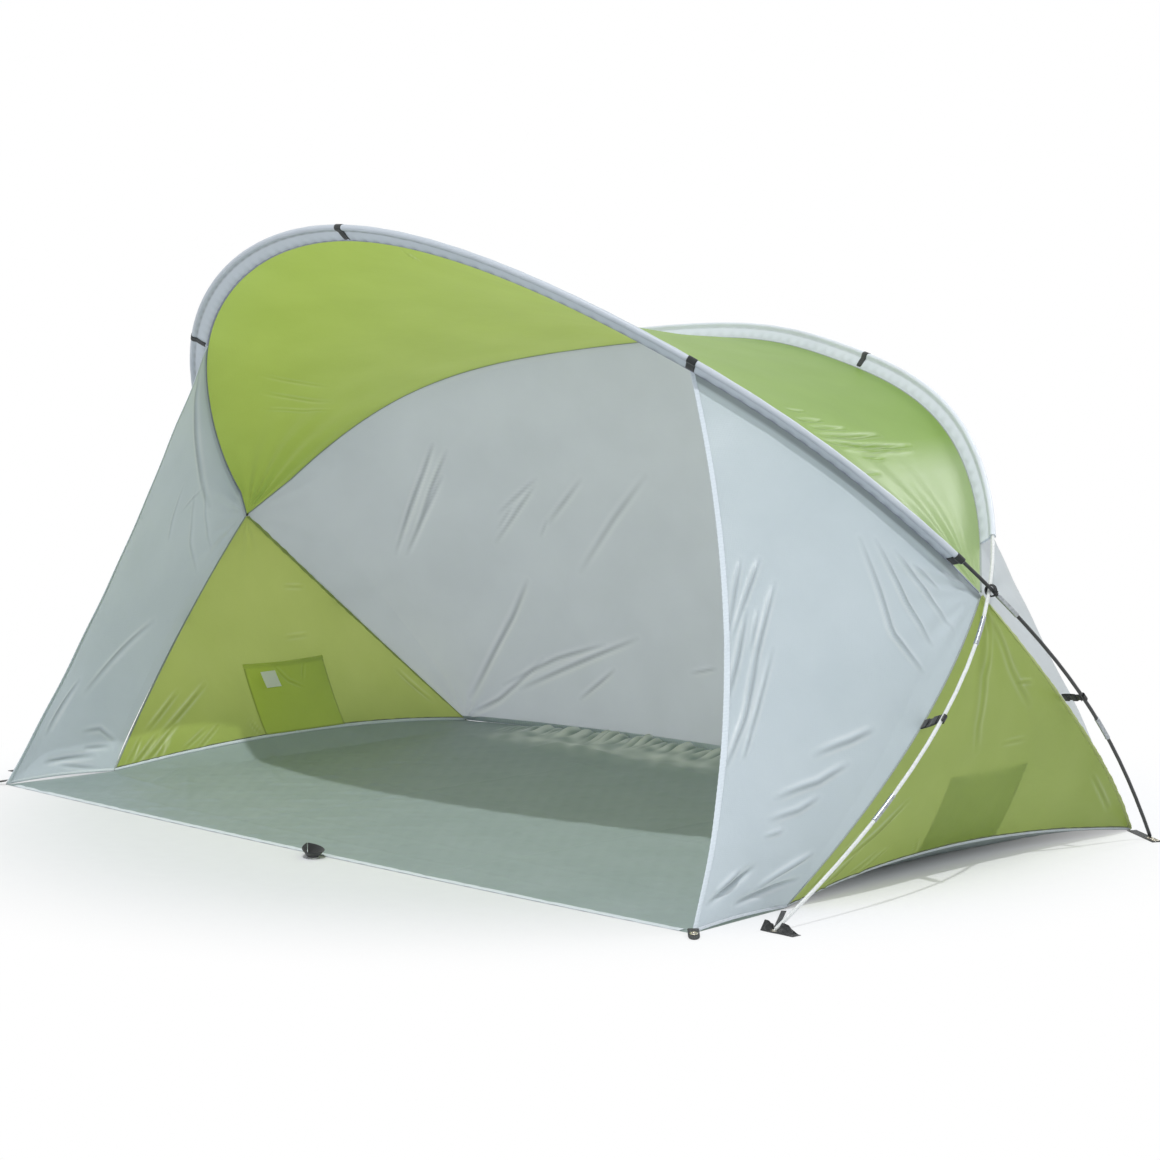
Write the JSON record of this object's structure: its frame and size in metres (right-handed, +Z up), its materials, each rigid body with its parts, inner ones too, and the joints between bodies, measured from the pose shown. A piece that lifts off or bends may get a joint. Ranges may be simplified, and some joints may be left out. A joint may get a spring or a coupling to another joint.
{
  "type": "beach tent",
  "caption": "Low open-fronted beach shelter: two crossing bent arch poles in fabric sleeves hold a lens-shaped roof, side wings, back wall and groundsheet with inner pockets.",
  "frame": {"origin": "bottom centre of the tent's bounding box, on the ground", "axes": "+X to the right of a viewer who faces the open front, +Y from the open front to the back wall, +Z up"},
  "size_m": [2.305, 1.3056, 1.1755],
  "materials": {
    "black_fibreglass": "smooth black rod with dull metal ferrules",
    "pale_fibreglass": "smooth off-white rod with dull metal ferrules",
    "green_polyester": "fine plain weave, slight sheen",
    "dark_green_polyester": "fine plain weave, slight sheen",
    "grey_polyester": "fine plain weave, slight sheen",
    "groundsheet_polyethylene": "coated woven sheet, slight sheen",
    "white_tape": "woven tape, matt",
    "dark_grey_tape": "woven tape, matt",
    "black_webbing": "ribbed webbing, matt",
    "black_plastic": "moulded, satin"
  },
  "bodies": {
    "tent": {"back_wall": "grey_polyester", "crossing_tie_left": "black_webbing", "crossing_tie_right": "black_webbing", "front_band_crown": "dark_grey_tape", "front_band_left": "dark_grey_tape", "front_band_right": "dark_grey_tape", "front_foot_tab_left": "black_webbing", "front_foot_tab_right": "black_webbing", "front_hem_tape": "white_tape", "front_pole_01": "black_fibreglass", "front_pole_02": "black_fibreglass", "front_pole_03": "black_fibreglass", "front_pole_04": "black_fibreglass", "front_pole_05": "black_fibreglass", "front_pole_06": "black_fibreglass", "front_pole_07": "black_fibreglass", "front_pole_08": "black_fibreglass", "front_pole_09": "black_fibreglass", "front_pole_10": "black_fibreglass", "front_pole_11": "black_fibreglass", "front_pole_12": "black_fibreglass", "front_sleeve": "grey_polyester", "groundsheet": "groundsheet_polyethylene", "pocket_left": "dark_green_polyester", "pocket_right": "dark_green_polyester", "rear_band_left": "dark_grey_tape", "rear_band_right": "dark_grey_tape", "rear_foot_tab_left": "black_webbing", "rear_foot_tab_right": "black_webbing", "rear_pole_01": "pale_fibreglass", "rear_pole_02": "pale_fibreglass", "rear_pole_03": "pale_fibreglass", "rear_pole_04": "pale_fibreglass", "rear_pole_05": "pale_fibreglass", "rear_pole_06": "pale_fibreglass", "rear_pole_07": "pale_fibreglass", "rear_pole_08": "pale_fibreglass", "rear_pole_09": "pale_fibreglass", "rear_pole_10": "pale_fibreglass", "rear_pole_11": "pale_fibreglass", "rear_sleeve": "grey_polyester", "roof_panel": "green_polyester", "side_panel_left": "green_polyester", "side_panel_right": "green_polyester", "sleeve_end_left": "black_webbing", "sleeve_end_right": "black_webbing", "wing_left": "grey_polyester", "wing_right": "grey_polyester"},
    "care_label": {"care_label": "white_tape"},
    "peg_loop": {"front_peg_loop": "black_webbing"},
    "corner_tab_right": {"corner_tab_right": "black_webbing"},
    "corner_tab_left": {"corner_tab_left": "black_webbing"},
    "front_leg_strap_right": {"front_leg_strap_right": "black_webbing", "front_leg_hook_right": "black_plastic"},
    "rear_leg_strap_right": {"rear_leg_strap_right": "black_webbing", "rear_leg_hook_right": "black_plastic"},
    "front_leg_strap_left": {"front_leg_strap_left": "black_webbing", "front_leg_hook_left": "black_plastic"},
    "rear_leg_strap_left": {"rear_leg_strap_left": "black_webbing", "rear_leg_hook_left": "black_plastic"}
  },
  "joints": [
    {"name": "care_label_flap", "type": "hinge", "parent": "tent", "child": "care_label", "pos_m": [-0.98817, 0.07294, 0.172], "axis": [0, -1, 0], "range_deg": [0, 110]},
    {"name": "peg_loop_swing", "type": "hinge", "parent": "tent", "child": "peg_loop", "pos_m": [0.012, -0.62286, 0], "axis": [0, 0, -1], "range_deg": [0, 120]},
    {"name": "corner_tab_right_lift", "type": "hinge", "parent": "tent", "child": "corner_tab_right", "pos_m": [1.01263, -0.60265, 0.00788], "axis": [-0.682, -0.7314, 0], "range_deg": [0, 60]},
    {"name": "front_leg_strap_right_swing", "type": "hinge", "parent": "tent", "child": "front_leg_strap_right", "pos_m": [1.06827, -0.08076, 0.30762], "axis": [-0.0613, 0.7135, 0.698], "range_deg": [0, 100]},
    {"name": "rear_leg_strap_right_swing", "type": "hinge", "parent": "tent", "child": "rear_leg_strap_right", "pos_m": [1.04615, 0.32326, 0.30154], "axis": [0.091, -0.7375, 0.6692], "range_deg": [0, 100]},
    {"name": "corner_tab_left_lift", "type": "hinge", "parent": "tent", "child": "corner_tab_left", "pos_m": [-1.01263, -0.60265, 0.00788], "axis": [-0.682, 0.7314, 0], "range_deg": [0, 60]},
    {"name": "front_leg_strap_left_swing", "type": "hinge", "parent": "tent", "child": "front_leg_strap_left", "pos_m": [-1.06827, -0.08076, 0.30762], "axis": [-0.0613, -0.7135, -0.698], "range_deg": [0, 100]},
    {"name": "rear_leg_strap_left_swing", "type": "hinge", "parent": "tent", "child": "rear_leg_strap_left", "pos_m": [-1.04615, 0.32326, 0.30154], "axis": [0.091, 0.7375, -0.6692], "range_deg": [0, 100]}
  ]
}
